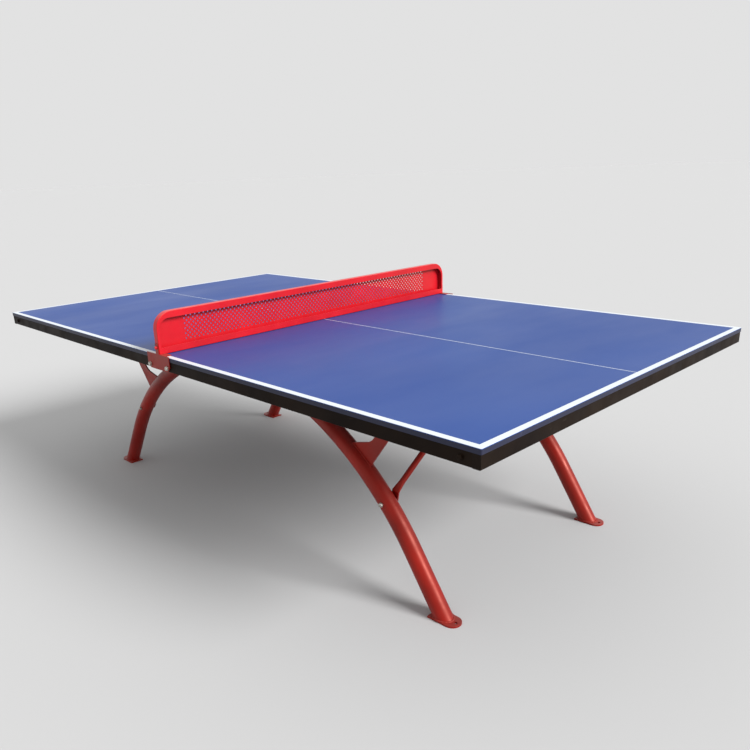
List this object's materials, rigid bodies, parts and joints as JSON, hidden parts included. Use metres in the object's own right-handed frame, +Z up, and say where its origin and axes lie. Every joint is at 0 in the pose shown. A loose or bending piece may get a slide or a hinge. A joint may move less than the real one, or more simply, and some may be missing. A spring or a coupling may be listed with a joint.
{
  "type": "ping pong table",
  "caption": "Outdoor ping pong table with a moulded blue top in two halves, steel frame, arched tube legs and a perforated steel net.",
  "frame": {"origin": "on the floor, under the middle of the table", "axes": "+X along the length of the table, +Y across it, +Z up; the net stands in the plane x = 0"},
  "size_m": [2.74, 1.5452, 0.906],
  "materials": {
    "panel_blue": "moulded sheet compound, fine texture, low sheen",
    "line_white": "line paint",
    "frame_black": "gloss powder coat",
    "plug_black": "moulded",
    "leg_red": "gloss powder coat",
    "net_red": "gloss powder coat",
    "zinc_bolt": "zinc plated"
  },
  "bodies": {
    "root": {"arch_bolts": "zinc_bolt", "arch_sleeve_front": "leg_red", "arch_sleeve_rear": "leg_red", "brace_front_left": "leg_red", "brace_front_right": "leg_red", "brace_leg_bolts": "zinc_bolt", "brace_rail_bolts": "zinc_bolt", "brace_rear_left": "leg_red", "brace_rear_right": "leg_red", "centre_rail_left": "frame_black", "centre_rail_right": "frame_black", "corner_bolts": "frame_black", "corner_bracket_front_left": "frame_black", "corner_bracket_front_right": "frame_black", "corner_bracket_rear_left": "frame_black", "corner_bracket_rear_right": "frame_black", "end_rail_left": "frame_black", "end_rail_right": "frame_black", "foot_plate_front_left": "leg_red", "foot_plate_front_right": "leg_red", "foot_plate_rear_left": "leg_red", "foot_plate_rear_right": "leg_red", "gusset_bolts": "zinc_bolt", "gusset_front_left": "leg_red", "gusset_front_right": "leg_red", "gusset_rear_left": "leg_red", "gusset_rear_right": "leg_red", "inner_cross_rail_left": "frame_black", "inner_cross_rail_right": "frame_black", "leg_tube_front_left": "leg_red", "leg_tube_front_right": "leg_red", "leg_tube_rear_left": "leg_red", "leg_tube_rear_right": "leg_red", "net_bracket_bolts": "zinc_bolt", "net_bracket_front": "leg_red", "net_bracket_rear": "leg_red", "net_end_bolts": "net_red", "net_panel": "net_red", "outer_cross_rail_left": "frame_black", "outer_cross_rail_right": "frame_black", "panel_screws": "zinc_bolt", "rail_plugs": "plug_black", "saddle_bolts": "zinc_bolt", "saddle_front": "leg_red", "saddle_rear": "leg_red", "side_rail_front_left": "frame_black", "side_rail_front_right": "frame_black", "side_rail_rear_left": "frame_black", "side_rail_rear_right": "frame_black", "top_lines_left": "line_white", "top_lines_right": "line_white", "top_panel_left": "panel_blue", "top_panel_right": "panel_blue"}
  },
  "joints": []
}
